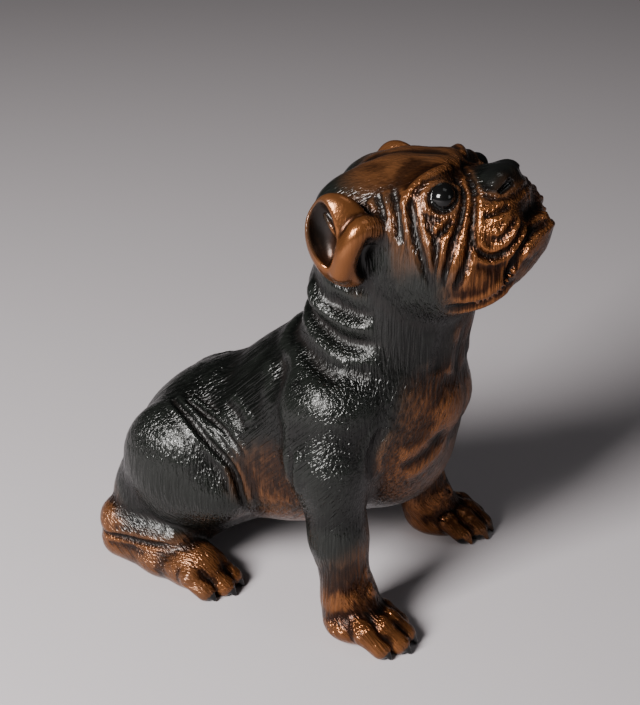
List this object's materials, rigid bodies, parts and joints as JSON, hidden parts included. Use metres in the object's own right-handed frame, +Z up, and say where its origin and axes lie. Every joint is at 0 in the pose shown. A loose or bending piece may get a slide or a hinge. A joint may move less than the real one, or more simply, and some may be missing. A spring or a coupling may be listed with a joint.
{
  "type": "bulldog statue",
  "caption": "Life-size seated bulldog puppy statue, a hollow casting with a dark bronze patina that stands on its paws and rump.",
  "frame": {"origin": "on the floor, under the middle of the statue's length and width", "axes": "+Z up, -Y the way the dog faces, +X to the dog's left"},
  "size_m": [0.2368, 0.3754, 0.38],
  "materials": {
    "patina": "lacquered bronze patina, near black on the back and copper brown on the face, chest and paws"
  },
  "bodies": {
    "root": {"bulldog": "patina"}
  },
  "joints": []
}
